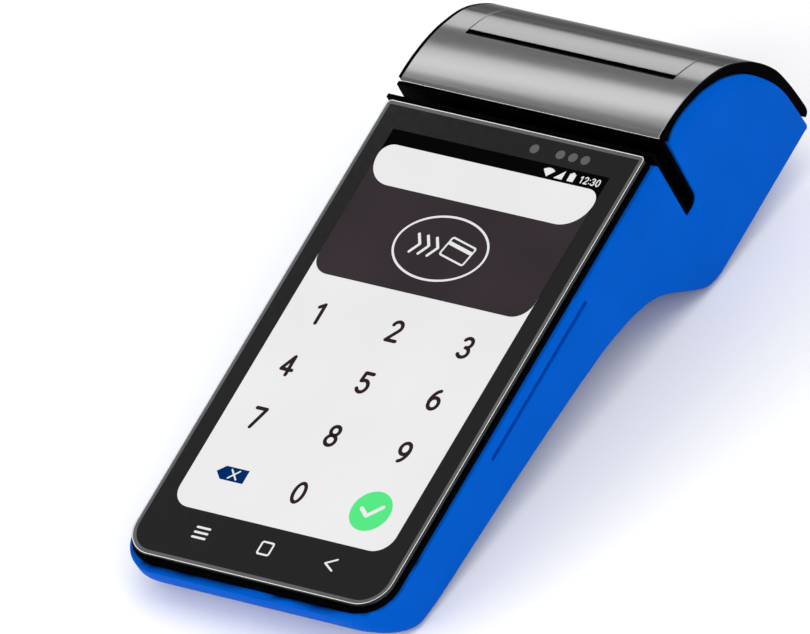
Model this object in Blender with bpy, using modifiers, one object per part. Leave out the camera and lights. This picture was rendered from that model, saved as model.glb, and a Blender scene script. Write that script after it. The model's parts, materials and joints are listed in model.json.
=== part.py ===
"""Card payment terminal with a touch screen, a card swipe channel and a receipt printer.

Everything is modelled in the terminal's own frame: the origin is the middle of the glass face,
+X points right, +Y points to the printer and +Z out of the glass. An empty then leans that frame
back, so that the terminal rests on its nose and on the front edge of the printer hump.
"""

from math import acos, atan2, cos, hypot, pi, sin, tan

import bmesh
import bpy
from mathutils import Matrix, Vector

MM = 0.001
GAP = 0.3  # clearance between neighbouring pieces, mm

# Driving dimensions, mm
BODY_WIDTH = 80.0
HALF_WIDTH = BODY_WIDTH / 2
WALL = 2.0
GLASS_HALF_WIDTH = 38.7
GLASS_FRONT_Y = -66.3
GLASS_REAR_Y = 66.9
GLASS_THICKNESS = 1.1
RIM_Z = -2.7  # top edge of the blue casing beside the glass
NOSE_Y = -69.5
TILT = atan2(29.4, 121.5)  # lean of the resting terminal, rad
MIDDLE_Y = 25.4  # half way along the resting terminal, measured from the glass's middle
FOOT_STAND = 0.8  # how far the feet stand out of the casing

# Underside of the casing in the YZ plane, from the nose to the hump's rear corner
UNDERSIDE = (
    (-69.5, -6.0), (-69.0, -8.4), (-67.3, -10.9), (-64.5, -12.9), (-61.0, -14.2),
    (-57.0, -15.5), (-48.0, -16.3), (-30.0, -17.3), (-8.0, -18.7), (11.0, -20.3),
    (24.0, -21.7), (33.0, -23.4), (40.0, -25.6), (45.5, -28.2), (49.5, -31.6),
    (54.4, -37.4), (57.5, -41.0), (60.5, -43.6), (64.5, -44.9), (68.0, -45.1),
    (103.5, -45.1), (106.6, -44.8), (108.6, -43.4), (109.4, -41.2),
)
# Upper edge of the hump's side panels, from the swipe channel to the rear
PANEL_EDGE = (
    (73.9, -3.1), (76.1, -2.1), (79.5, -1.9), (83.0, -2.4), (87.0, -3.5), (90.5, -4.8),
    (95.8, -7.9), (99.5, -11.2), (102.4, -14.6), (104.8, -18.8), (107.6, -25.7), (109.0, -33.3),
    (109.4, -39.8),
)
# Outer face of the printer cover, from the swipe channel to the rear
COVER_FACE = (
    (73.2, -0.1), (76.0, -0.1), (80.1, -0.45), (85.3, -1.35), (90.0, -2.7), (93.6, -4.2),
    (97.2, -6.0), (99.8, -7.8), (102.2, -10.0), (104.9, -13.1), (107.2, -16.4), (109.3, -20.7),
    (110.7, -25.1), (111.4, -31.0),
)
COVER_FOOT = ((111.6, -36.0), (111.6, -40.3), (111.0, -41.9), (109.9, -42.3))  # below the skin
COVER_HALF_WIDTH = 38.75
SKIN = 0.6  # thickness of the silver skins
SKIN_LIP = (72.4, -0.35)  # front edge of the silver skin
SKIN_FOOT_Z = -28.0  # lower edge of the silver skins at the back
DOOR_FOOT_Z = -28.4
SHROUD_HALF_WIDTH = 39.6
SHROUD_STEP_Z = -28.6  # where the black foot comes out flush with the silver skins above it

# Swipe channel section: the front wall's top and foot, then the rear wall's foot and top
CHANNEL = ((67.1, 0.0), (66.0, -22.6), (71.6, -22.6), (73.1, 0.0))
CHANNEL_FRONT_RADIUS, CHANNEL_REAR_RADIUS = 0.8, 2.8
CHANNEL_WALL = 1.0
CHANNEL_HALF_LENGTH = 39.9
FRONT_LIP_Z = -0.4
REAR_LIP_Z = -1.3  # below the silver skin that overhangs it
HEAD_Z = (-15.0, -7.0)  # lower and upper edge of the magnetic head

# Printer: paper slot, door, platen, gears and roll
SLOT_FRONT_Y = 90.2  # rear edge of the fixed cover in front of the paper slot
SLOT_REAR_Y = 91.9
DOOR_HALF_WIDTH = 31.2
HINGE = (109.6, -30.5)
HINGE_PIN_RADIUS = 0.8
BARREL_RADIUS = 1.6
BEARING_RADIUS = 2.2
AXLE_RADIUS = 0.9
BEARING_LANES = {"left": (-30.7, -29.9), "right": (27.5, 28.3)}
PLATEN = (94.0, -13.6)
PLATEN_RADIUS = 4.0
SHAFT_RADIUS = 1.25
LANE = (-29.6, 26.4)  # X range of the paper
GEAR_X = (28.6, 30.6)
GEAR_MODULE = 0.5
PLATEN_TEETH, IDLER_TEETH, PINION_TEETH = 18, 22, 10
PRESSURE_ANGLE = 0.349
BACKLASH = 0.12
ROLL = (92.0, -29.3)
ROLL_RADIUS = 11.3
CORE_RADIUS = 5.2
CORE_BORE = 3.9

# Side buttons on the left face
POWER_Y = (20.0, 31.0)
VOLUME_Y = (-8.0, 12.0)
BUTTON_Z = (-11.4, -8.2)
BUTTON_STAND = 0.7

# USB-C port in the left face
USB_Y = (38.0, 47.0)
USB_Z = (-12.1, -8.9)

# Status lights behind the glass
STATUS_Y = 62.3
STATUS_LIGHTS = {
    "status_light_1": 8.25, "status_light_2": 16.0, "status_light_3": 19.7, "status_light_4": 23.4,
}

# Feet, battery cover and screws in the underside
FOOT_HALF_DEPTH, FOOT_HALF_LENGTH = 4.5, 7.0
FRONT_REST, REAR_REST = UNDERSIDE[5], UNDERSIDE[18]  # the two lines that the terminal rests on
FEET = {
    "front_left_foot": (-24.0, FRONT_REST),
    "front_right_foot": (24.0, FRONT_REST),
    "rear_left_foot": (-27.0, REAR_REST),
    "rear_right_foot": (27.0, REAR_REST),
}
COVER_HATCH = (31.0, -12.0, 46.0)  # battery cover: half width, front and rear Y
CASE_SCREWS = {
    "front_left_case_screw": (-34.2, -40.0),
    "front_right_case_screw": (34.2, -40.0),
    "rear_left_case_screw": (-34.2, 35.0),
    "rear_right_case_screw": (34.2, 35.0),
}
HEAD_RADIUS = 1.9
HEAD_HEIGHT = 1.2
SHANK_RADIUS = 0.9
SOCKET_RADIUS = 0.8


def start_scene():
    for obj in list(bpy.data.objects):
        bpy.data.objects.remove(obj)
    parts = bpy.data.collections.new("card_payment_terminal")
    cutters = bpy.data.collections.new("cutters")
    for collection in (parts, cutters):
        bpy.context.scene.collection.children.link(collection)
    frame = bpy.data.objects.new("terminal_frame", None)
    parts.objects.link(frame)
    lowest = min(z * cos(TILT) + y * sin(TILT) for y, z in UNDERSIDE)
    frame.rotation_euler.x = TILT
    frame.location = (0.0, -MIDDLE_Y * MM, (FOOT_STAND - lowest) * MM)
    return parts, cutters, frame


PARTS, CUTTERS, FRAME = start_scene()


def material(name, colour, roughness, metallic=0.0):
    found = bpy.data.materials.get(name)
    if found:
        return found
    made = bpy.data.materials.new(name)
    made.use_nodes = True
    shader = made.node_tree.nodes["Principled BSDF"]
    shader.inputs["Base Color"].default_value = (*colour, 1.0)
    shader.inputs["Roughness"].default_value = roughness
    shader.inputs["Metallic"].default_value = metallic
    return made


def blue_plastic():
    return material("blue_plastic", (0.0, 0.098, 0.604), 0.45)


def black_plastic():
    return material("black_plastic", (0.012, 0.012, 0.013), 0.4)


def grey_plastic():
    return material("grey_plastic", (0.1, 0.1, 0.105), 0.5)


def silver():
    return material("silver_cover", (0.3, 0.3, 0.31), 0.32, 0.9)


def steel():
    return material("steel", (0.5, 0.5, 0.52), 0.3, 1.0)


def brass():
    return material("brass", (0.66, 0.48, 0.2), 0.35, 1.0)


def rubber():
    return material("rubber", (0.02, 0.02, 0.02), 0.8)


def board_green():
    return material("circuit_board", (0.01, 0.09, 0.045), 0.5)


def white_plastic():
    return material("white_plastic", (0.75, 0.75, 0.73), 0.5)


def add_object(name, mesh, look=None, cutter=False):
    """Adds a mesh in the terminal's frame, as a part or as a cutter."""
    obj = bpy.data.objects.new(name, mesh)
    (CUTTERS if cutter else PARTS).objects.link(obj)
    obj.parent = FRAME
    if cutter:
        obj.hide_render = True
        obj.display_type = "WIRE"
    else:
        obj.data.materials.append(look)
    return obj


def mesh_from(bm, name):
    bmesh.ops.recalc_face_normals(bm, faces=bm.faces)
    bmesh.ops.scale(bm, vec=(MM, MM, MM), verts=bm.verts)
    mesh = bpy.data.meshes.new(name)
    bm.to_mesh(mesh)
    bm.free()
    mesh.shade_smooth()
    mesh.set_sharp_from_angle(angle=0.6)
    return mesh


def box(name, low, high, look=None, cutter=False):
    """A box between two corners."""
    bm = bmesh.new()
    bmesh.ops.create_cube(bm, size=1.0)
    size = [high[i] - low[i] for i in range(3)]
    middle = [(high[i] + low[i]) / 2 for i in range(3)]
    bmesh.ops.scale(bm, vec=size, verts=bm.verts)
    bmesh.ops.translate(bm, vec=middle, verts=bm.verts)
    return add_object(name, mesh_from(bm, name), look, cutter)


def prism(name, outline, axis, low, high, look=None, cutter=False):
    """A flat outline extruded along an axis. The outline's points are (Y, Z), (X, Z) or (X, Y)."""
    placed = {
        "X": lambda p: (low, p[0], p[1]),
        "Y": lambda p: (p[0], low, p[1]),
        "Z": lambda p: (p[0], p[1], low),
    }[axis]
    bm = bmesh.new()
    face = bm.faces.new([bm.verts.new(placed(point)) for point in outline])
    grown = bmesh.ops.extrude_face_region(bm, geom=[face])["geom"]
    moved = [item for item in grown if isinstance(item, bmesh.types.BMVert)]
    along = Vector(("XYZ".index(axis) == i) * (high - low) for i in range(3))
    bmesh.ops.translate(bm, vec=along, verts=moved)
    return add_object(name, mesh_from(bm, name), look, cutter)


def cylinder(name, axis, centre, radius, low, high, look=None, cutter=False, sides=32, tip=None):
    """A cylinder, or a cone when tip is given. Its centre is in the plane across the axis."""
    bm = bmesh.new()
    end = radius if tip is None else tip
    bmesh.ops.create_cone(
        bm, cap_ends=True, segments=sides, radius1=radius, radius2=end, depth=high - low
    )
    middle = (low + high) / 2
    if axis == "X":
        turn = Matrix.Rotation(pi / 2, 4, "Y")
        place = (middle, *centre)
    elif axis == "Y":
        turn = Matrix.Rotation(-pi / 2, 4, "X")
        place = (centre[0], middle, centre[1])
    else:
        turn = Matrix.Identity(4)
        place = (*centre, middle)
    bmesh.ops.transform(bm, matrix=Matrix.Translation(place) @ turn, verts=bm.verts)
    return add_object(name, mesh_from(bm, name), look, cutter)


def boolean(obj, other, operation="DIFFERENCE"):
    modifier = obj.modifiers.new(operation.lower(), "BOOLEAN")
    modifier.operation = operation
    modifier.solver = "EXACT"
    modifier.object = other
    return obj


def bevel(obj, width, segments=2, angle=0.6):
    modifier = obj.modifiers.new("bevel", "BEVEL")
    modifier.width = width * MM
    modifier.segments = segments
    modifier.limit_method = "ANGLE"
    modifier.angle_limit = angle
    modifier.use_clamp_overlap = True
    return obj


def joint_origin(obj, y, z, x=0.0):
    """Moves a part's origin onto its joint without moving the part."""
    point = Vector((x, y, z)) * MM
    obj.data.transform(Matrix.Translation(-point))
    obj.location = point
    return obj


def arc(centre, radius, start, end, count):
    """Points on an arc, with the angles in radians."""
    steps = [start + (end - start) * i / (count - 1) for i in range(count)]
    return [(centre[0] + radius * cos(a), centre[1] + radius * sin(a)) for a in steps]


def rounded_plan(half_width, front, rear, front_radius, rear_radius, count=10):
    """A plan outline with round corners, in XY."""
    corners = (
        (half_width, rear, rear_radius, 0.0, -1, -1),
        (-half_width, rear, rear_radius, pi / 2, 1, -1),
        (-half_width, front, front_radius, pi, 1, 1),
        (half_width, front, front_radius, 1.5 * pi, -1, 1),
    )
    points = []
    for x, y, radius, start, side_x, side_y in corners:
        centre = (x + side_x * radius, y + side_y * radius)
        points += arc(centre, radius, start, start + pi / 2, count)
    return points


def offset(line, distance):
    """A copy of an open polyline moved to its left by a distance."""
    moved = []
    for i, (y, z) in enumerate(line):
        before = line[max(i - 1, 0)]
        after = line[min(i + 1, len(line) - 1)]
        run = (after[0] - before[0], after[1] - before[1])
        length = hypot(*run)
        moved.append((y - run[1] / length * distance, z + run[0] / length * distance))
    return moved


def height_at(line, y):
    """Z of a polyline at a given Y."""
    for (y0, z0), (y1, z1) in zip(line, line[1:]):
        if y0 <= y <= y1:
            return z0 + (z1 - z0) * (y - y0) / (y1 - y0)
    return line[-1][1]


def between(line, low, high):
    """The stretch of a polyline from Y low to Y high, with its ends added."""
    middle = [p for p in line if low < p[0] < high]
    return [(low, height_at(line, low)), *middle, (high, height_at(line, high))]


def channel_path(inset, count=5):
    """The swipe channel's section, moved inwards from the casing's notch by a distance."""
    (front_top, _), (front, low), (rear, _), (rear_top, _) = CHANNEL
    low += inset
    small, large = max(CHANNEL_FRONT_RADIUS - inset, 0.3), CHANNEL_REAR_RADIUS - inset
    front_corner = arc((front + inset + small, low + small), small, pi, 1.5 * pi, count)
    rear_corner = arc((rear - inset - large, low + large), large, 1.5 * pi, 2 * pi, count)
    return [(front_top + inset, 0.0), *front_corner, *rear_corner, (rear_top - inset, 0.0)]


def casing_outline():
    """The side view of the blue casing: underside, side panel edge, notch and rim."""
    notch = channel_path(0.0)
    rear_top = (notch[-1][0] - 0.1, PANEL_EDGE[0][1] - 1.2)
    front_top = (notch[0][0] - 0.1, RIM_Z - 1.0)
    rim = [(front_top[0] - 0.9, RIM_Z), (NOSE_Y, RIM_Z)]
    return [*UNDERSIDE, *reversed(PANEL_EDGE), rear_top, *reversed(notch[1:-1]), front_top, *rim]


def foot_outline(point, grow=0.0):
    """A foot's section, square to the surface that the terminal stands on."""
    half = FOOT_HALF_DEPTH + grow
    low = -FOOT_STAND - grow
    high = 1.2 + grow
    corners = ((-half, low), (half, low), (half, high), (-half, high))
    return [
        (point[0] + a * cos(TILT) + b * sin(TILT), point[1] - a * sin(TILT) + b * cos(TILT))
        for a, b in corners
    ]


def rear_casing():
    """The blue shell: sides, underside and the hump's side panels, open at the top."""
    shell = prism("rear_casing", casing_outline(), "X", -HALF_WIDTH, HALF_WIDTH, blue_plastic())
    bevel(shell, 1.4, 2, 1.0)
    plan = rounded_plan(HALF_WIDTH, NOSE_Y, 115.0, 13.0, 4.0)
    boolean(shell, prism("plan_cutter", plan, "Z", -60, 10, cutter=True), "INTERSECT")
    inside = offset(UNDERSIDE, WALL)
    rear = inside[-1][0]
    hollow = [(inside[0][0], 5.0), *inside, (rear, -33.6), (115.0, -33.6), (115.0, 5.0)]
    inner_half = HALF_WIDTH - WALL
    cavity = prism("cavity_cutter", hollow, "X", -inner_half, inner_half, cutter=True)
    inner_plan = rounded_plan(inner_half, inside[0][0], 116.0, 11.0, 2.0)
    boolean(cavity, prism("cavity_plan_cutter", inner_plan, "Z", -60, 10, cutter=True), "INTERSECT")
    boolean(shell, cavity)
    half, front, back = COVER_HATCH
    hatch = box(
        "hatch_cutter", (-half - GAP, front - GAP, -50), (half + GAP, back + GAP, -8), cutter=True
    )
    boolean(shell, hatch)
    groove = box("groove_cutter", (38.9, -17.5, -7.1), (45, 29.2, -5.9), cutter=True)
    boolean(shell, groove)
    for name, (x, point) in FEET.items():
        low, high = x - FOOT_HALF_LENGTH - GAP, x + FOOT_HALF_LENGTH + GAP
        boolean(shell, prism(name + "_pocket", foot_outline(point, GAP), "X", low, high, cutter=True))
    for name, place in CASE_SCREWS.items():
        skin = height_at(UNDERSIDE, place[1])
        pocket = cylinder(
            name + "_pocket", "Z", place, HEAD_RADIUS + GAP, -50, skin + HEAD_HEIGHT + 0.1,
            cutter=True, sides=20,
        )
        boolean(shell, pocket)
        hole = cylinder(
            name + "_hole", "Z", place, SHANK_RADIUS + GAP, -50, -8, cutter=True, sides=16
        )
        boolean(shell, hole)
    low, high = BUTTON_Z
    for name, (front, back) in {"power": POWER_Y, "volume": VOLUME_Y}.items():
        window = box(
            name + "_window", (-45, front - GAP, low - GAP), (-30, back + GAP, high + GAP),
            cutter=True,
        )
        boolean(shell, window)
    port = box(
        "port_window", (-45, USB_Y[0] - GAP, USB_Z[0] - GAP), (-30, USB_Y[1] + GAP, USB_Z[1] + GAP),
        cutter=True,
    )
    boolean(shell, port)


def feet():
    for name, (x, point) in FEET.items():
        low, high = x - FOOT_HALF_LENGTH, x + FOOT_HALF_LENGTH
        prism(name, foot_outline(point), "X", low, high, rubber())


def case_screws():
    """Screws from the underside up into the front frame's bosses."""
    for name, place in CASE_SCREWS.items():
        skin = height_at(UNDERSIDE, place[1])
        top = skin + HEAD_HEIGHT
        screw = cylinder(name, "Z", place, HEAD_RADIUS, skin - 0.1, top, steel(), sides=20)
        socket = cylinder(
            name + "_socket", "Z", place, SOCKET_RADIUS, skin - 1, skin + 0.6, cutter=True, sides=6
        )
        boolean(screw, socket)
        shank = cylinder(
            name + "_shank", "Z", place, SHANK_RADIUS, top - 0.4, -6.6, cutter=True, sides=16
        )
        boolean(screw, shank, "UNION")


def battery_cover():
    half, front, back = COVER_HATCH
    outer = between(UNDERSIDE, front, back)
    outline = [*outer, *reversed(offset(outer, 1.6))]
    outline = [(min(max(y, front), back), z) for y, z in outline]
    cover = prism("battery_cover", outline, "X", -half, half, blue_plastic())
    for side, x in (("left", -26.0), ("right", 26.0)):
        place = (x, front + 5.0)
        skin = height_at(UNDERSIDE, place[1])
        name = f"{side}_battery_screw"
        pocket = cylinder(
            name + "_pocket", "Z", place, HEAD_RADIUS + GAP, -50, skin + 1.0, cutter=True, sides=20
        )
        boolean(cover, pocket)
        screw = cylinder(name, "Z", place, HEAD_RADIUS, skin - 0.3, skin + 0.7, steel(), sides=20)
        socket = cylinder(
            name + "_socket", "Z", place, SOCKET_RADIUS, skin - 1, skin + 0.3, cutter=True, sides=6
        )
        boolean(screw, socket)


def front_frame():
    """The black frame that carries the glass and the display, with bosses for the case screws."""
    top = rounded_plan(39.3, -67.2, 66.7, 9.0, 1.5)
    frame = prism("front_frame", top, "Z", -2.4, -1.4, black_plastic())
    tray_plan = rounded_plan(37.6, -64.8, 64.8, 8.0, 1.5)
    boolean(frame, prism("tray_union", tray_plan, "Z", -5.4, -2.0, cutter=True), "UNION")
    for name, place in CASE_SCREWS.items():
        boss = cylinder(name + "_boss", "Z", place, 2.6, -10.5, -5.0, cutter=True, sides=20)
        boolean(frame, boss, "UNION")
    pocket = box("display_pocket", (-36, -61.5, -3.9), (36, 60.2, 5), cutter=True)
    boolean(frame, pocket)
    window = box("flex_window", (-12, 40, -8), (12, 52, 5), cutter=True)
    boolean(frame, window)
    for name, x in STATUS_LIGHTS.items():
        seat = cylinder(name + "_seat", "Z", (x, STATUS_Y), 1.5, -8, 5, cutter=True, sides=16)
        boolean(frame, seat)
    for name, place in CASE_SCREWS.items():
        thread = cylinder(
            name + "_thread", "Z", place, SHANK_RADIUS + 0.1, -12, -5.9, cutter=True, sides=16
        )
        boolean(frame, thread)


def cover_glass():
    plan = rounded_plan(GLASS_HALF_WIDTH, GLASS_FRONT_Y, GLASS_REAR_Y, 8.0, 1.5)
    look = material("cover_glass", (0.01, 0.01, 0.012), 0.08)
    bevel(prism("cover_glass", plan, "Z", -GLASS_THICKNESS, 0.0, look), 0.7, 2, 1.0)


def display_stack():
    """The display, its steel backing plate and the contactless reader's antenna."""
    screen = material("display", (0.75, 0.75, 0.76), 0.3)
    box("display_panel", (-35.4, -61.0, -3.5), (35.4, 59.8, -1.4), screen)
    plate = box("display_back_plate", (-31, -58, -6.2), (31, 38, -5.7), steel())
    boolean(plate, box("plate_window", (-14, -20, -8), (14, 14, -4), cutter=True))
    antenna = box("contactless_antenna", (-30, 0, -7.0), (30, 57, -6.6), brass())
    boolean(antenna, box("antenna_window", (-26, 4, -8), (26, 53, -5), cutter=True))
    for name, x in STATUS_LIGHTS.items():
        cylinder(name, "Z", (x, STATUS_Y), 1.2, -6.2, -1.4, grey_plastic(), sides=16)


def electronics():
    board = prism(
        "main_board", rounded_plan(30.5, -57.0, 60.0, 4.0, 1.0, 3), "Z", -8.6, -7.5, board_green()
    )
    boolean(board, cylinder("board_hole", "Z", (0, -52), 1.6, -12, -5, cutter=True, sides=16))
    box("shield_can", (-27, -44, -10.6), (-2, -18, -8.9), steel())
    box("sim_socket", (4, -56, -10.8), (22, -42, -8.9), steel())
    cylinder("coin_cell", "Z", (13.0, -28.0), 6.3, -11.2, -8.9, steel(), sides=28)
    speaker = box("loudspeaker", (-25, -57, -12.4), (-7, -47, -8.9), black_plastic())
    mouth = cylinder("speaker_mouth", "Z", (-16, -52), 3.6, -14, -11.6, cutter=True, sides=20)
    boolean(speaker, mouth)
    bevel(box("battery_pack", (-29, -8, -16.0), (29, 42, -10.4), grey_plastic()), 0.8)
    usb = box(
        "usb_c_receptacle", (-39.6, USB_Y[0], USB_Z[0]), (-31.0, USB_Y[1], USB_Z[1]), steel()
    )
    bevel(usb, 1.2, 2)
    mouth = box(
        "usb_mouth", (-42, USB_Y[0] + 0.4, USB_Z[0] + 0.4), (-33, USB_Y[1] - 0.4, USB_Z[1] - 0.4),
        cutter=True,
    )
    tongue = box("usb_tongue", (-38.6, 39.6, -10.8), (-32.5, 45.4, -10.2), cutter=True)
    boolean(mouth, tongue)
    boolean(usb, mouth)


def side_buttons():
    """A power button that slides in, and a volume rocker that tips about its middle."""
    outer = -HALF_WIDTH - BUTTON_STAND
    for name, (front, back) in {"power_button": POWER_Y, "volume_rocker": VOLUME_Y}.items():
        low, high = BUTTON_Z
        cap = box(name, (outer, front, low), (-36.8, back, high), blue_plastic())
        bevel(cap, 0.5)
        flange = box(
            name + "_flange", (-37.6, front - 0.8, low - 0.8), (-36.4, back + 0.8, high + 0.8),
            cutter=True,
        )
        boolean(cap, flange, "UNION")
        middle = (front + back) / 2
        joint_origin(cap, middle, (low + high) / 2, -37.0)


def swipe_channel():
    """The black trough of the card swipe channel, and the magnetic head in its rear wall."""
    outer = channel_path(GAP)
    inner = channel_path(GAP + CHANNEL_WALL)
    middle = (CHANNEL[1][0] + CHANNEL[2][0]) / 2
    outer, inner = [
        [(y, min(z, FRONT_LIP_Z if y < middle else REAR_LIP_Z)) for y, z in line]
        for line in (outer, inner)
    ]
    half = CHANNEL_HALF_LENGTH
    trough = prism("swipe_channel", strip(outer, inner), "X", -half, half, black_plastic())
    window = box("head_window", (-4.3, 68.9, HEAD_Z[0] - GAP), (4.3, 76, HEAD_Z[1] + GAP), cutter=True)
    boolean(trough, window)
    head = box("magnetic_head", (-4, 70.5, HEAD_Z[0]), (4, 76.0, HEAD_Z[1]), steel())
    bevel(head, 0.8)
    joint_origin(head, 73.0, sum(HEAD_Z) / 2)
    box("head_leaf_spring", (-14, 76.3, HEAD_Z[0] + 2.6), (8, 76.6, HEAD_Z[1] - 2.6), steel())


def strip(outer, inner):
    """The closed outline between two curves that run the same way."""
    return [*outer, *reversed(inner)]


COVER_CURVE = (*COVER_FACE, *COVER_FOOT)
SHROUD_FACE = offset(COVER_CURVE, -(SKIN + 0.2))
SHROUD_BACK = offset(PANEL_EDGE, GAP)


def above(line, z):
    """The part of a falling line above a height, with its end added."""
    kept = [p for p in line if p[1] > z]
    (y0, z0), (y1, z1) = line[len(kept) - 1], line[len(kept)]
    return [*kept, (y0 + (y1 - y0) * (z - z0) / (z1 - z0), z)]


def shroud_outline():
    """Under the skins, then flush with them at its foot."""
    step = above(COVER_CURVE, SHROUD_STEP_Z)[-1]
    foot = [p for p in COVER_CURVE if p[1] < SHROUD_STEP_Z]
    return strip([*above(SHROUD_FACE, SHROUD_STEP_Z), step, *foot], SHROUD_BACK)


def printer_shroud():
    """The black cover round the printer door, with the lugs of the door's hinge."""
    shroud = prism(
        "printer_shroud", shroud_outline(), "X", -SHROUD_HALF_WIDTH, SHROUD_HALF_WIDTH, black_plastic()
    )
    half = DOOR_HALF_WIDTH
    opening = box("door_opening", (-half, SLOT_FRONT_Y, -32.5), (half, 125, 5), cutter=True)
    boolean(shroud, opening)
    bore = cylinder("lug_bore", "X", HINGE, HINGE_PIN_RADIUS + 0.1, -36, 36, cutter=True, sides=20)
    boolean(shroud, bore)


def skin_outline():
    outer = [SKIN_LIP, *above(COVER_FACE, SKIN_FOOT_Z)]
    return strip(outer, offset(outer, -SKIN))


def printer_cover_skin():
    """The silver skin of the fixed cover, in front of the slot and beside the door."""
    skin = prism(
        "printer_cover_skin", skin_outline(), "X", -COVER_HALF_WIDTH, COVER_HALF_WIDTH, silver()
    )
    half = DOOR_HALF_WIDTH
    boolean(skin, box("skin_opening", (-half, SLOT_FRONT_Y, -50), (half, 125, 5), cutter=True))


def rear_stretch(outline, name, half, look):
    """The part of an outline behind the paper slot, as wide as the door."""
    piece = prism(name, outline, "X", -half, half, look)
    front = box(name + "_front_cutter", (-50, 60, -60), (50, SLOT_REAR_Y, 10), cutter=True)
    return boolean(piece, front)


def paper_door():
    """The door: a curved panel with a hinge barrel and two arms that carry the platen."""
    half = DOOR_HALF_WIDTH - GAP
    door = rear_stretch(shroud_outline(), "paper_door", half, black_plastic())
    boolean(door, box("door_foot_cutter", (-50, 100, -60), (50, 125, DOOR_FOOT_Z), cutter=True))
    barrel = cylinder("barrel", "X", HINGE, BARREL_RADIUS, -half, half, cutter=True, sides=24)
    boolean(door, barrel, "UNION")
    web = box("barrel_web", (-half, 108.6, -30.0), (half, 109.5, -27.0), cutter=True)
    boolean(door, web, "UNION")
    y, z = PLATEN
    for side, (low, high) in BEARING_LANES.items():
        name = side + "_arm"
        arm = cylinder(name, "X", PLATEN, BEARING_RADIUS + 1.0, low, high, cutter=True, sides=24)
        boolean(door, arm, "UNION")
        neck = box(name + "_neck", (low, y - 0.9, z + 2.8), (high, y + 1.0, z + 6.9), cutter=True)
        boolean(door, neck, "UNION")
    seat = cylinder("bearing_seat", "X", PLATEN, BEARING_RADIUS + 0.1, -35, 35, cutter=True, sides=24)
    boolean(door, seat)
    bore = cylinder("barrel_bore", "X", HINGE, HINGE_PIN_RADIUS + 0.15, -36, 36, cutter=True, sides=20)
    boolean(door, bore)
    joint_origin(door, *HINGE)
    rear_stretch(skin_outline(), "paper_door_skin", half, silver())
    cylinder("door_hinge_pin", "X", HINGE, HINGE_PIN_RADIUS, -35.5, 35.5, steel(), sides=20)


def ring(name, centre, radius, bore, low, high, look, sides=32):
    piece = cylinder(name, "X", centre, radius, low, high, look, sides=sides)
    hole = cylinder(name + "_bore", "X", centre, bore, low - 5, high + 5, cutter=True, sides=sides)
    return boolean(piece, hole)


def tooth_edge(teeth, distance):
    """Half the angle of a tooth at a distance from the gear's centre, on an involute flank."""
    pitch = GEAR_MODULE * teeth / 2
    base = pitch * cos(PRESSURE_ANGLE)
    turn = acos(base / max(distance, base))
    flank = (tan(PRESSURE_ANGLE) - PRESSURE_ANGLE) - (tan(turn) - turn)
    return pi / (2 * teeth) - BACKLASH / (2 * pitch) + flank


def gear(name, centre, teeth, phase, bore, look):
    """A spur gear with a tooth at the angle phase."""
    pitch = GEAR_MODULE * teeth / 2
    root = pitch - 1.25 * GEAR_MODULE
    tip = pitch + 0.9 * GEAR_MODULE
    base = pitch * cos(PRESSURE_ANGLE)
    flank = sorted({root, max(root + 0.05, base), pitch, tip})
    rise = [(distance, -tooth_edge(teeth, distance)) for distance in flank]
    tooth = [*rise, *[(distance, -angle) for distance, angle in reversed(rise)]]
    outline = []
    for index in range(teeth):
        middle = phase + 2 * pi * index / teeth
        outline += [
            (centre[0] + d * cos(middle + a), centre[1] + d * sin(middle + a)) for d, a in tooth
        ]
    body = prism(name, outline, "X", *GEAR_X, look)
    low, high = GEAR_X
    hole = cylinder(
        name + "_bore", "X", centre, bore, low - 2, high + 2, cutter=True, sides=20
    )
    return boolean(body, hole)


def meshed_phase(teeth, partner_teeth, partner_phase, direction):
    """The phase of a gear that lies in a direction from its partner, so that their teeth mesh."""
    return direction + pi + (pi - partner_teeth * (partner_phase - direction)) / teeth


def gear_centre(start, teeth, other_teeth, direction):
    reach = GEAR_MODULE * (teeth + other_teeth) / 2 + 0.02
    return start[0] + reach * cos(direction), start[1] + reach * sin(direction)


# The idler lies where the opening door moves the platen straight away from it
IDLER_DIRECTION = atan2(PLATEN[0] - HINGE[0], HINGE[1] - PLATEN[1])
IDLER = gear_centre(PLATEN, PLATEN_TEETH, IDLER_TEETH, IDLER_DIRECTION)
PINION_DIRECTION = 2.75
PINION = gear_centre(IDLER, IDLER_TEETH, PINION_TEETH, PINION_DIRECTION)


def platen():
    """The rubber feed roller on its shaft, in two bearings, with its gear."""
    roller = ring("platen_roller", PLATEN, PLATEN_RADIUS, SHAFT_RADIUS + 0.08, -29.2, 26.6, rubber())
    joint_origin(roller, *PLATEN)
    shaft = cylinder("platen_shaft", "X", PLATEN, SHAFT_RADIUS, -30.8, 30.8, steel(), sides=24)
    joint_origin(shaft, *PLATEN)
    for side, (low, high) in BEARING_LANES.items():
        ring(side + "_bearing", PLATEN, BEARING_RADIUS, SHAFT_RADIUS + 0.08, low, high, brass(), 24)
    phase = IDLER_DIRECTION
    wheel = gear("platen_gear", PLATEN, PLATEN_TEETH, phase, SHAFT_RADIUS + 0.08, white_plastic())
    joint_origin(wheel, *PLATEN)


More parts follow.
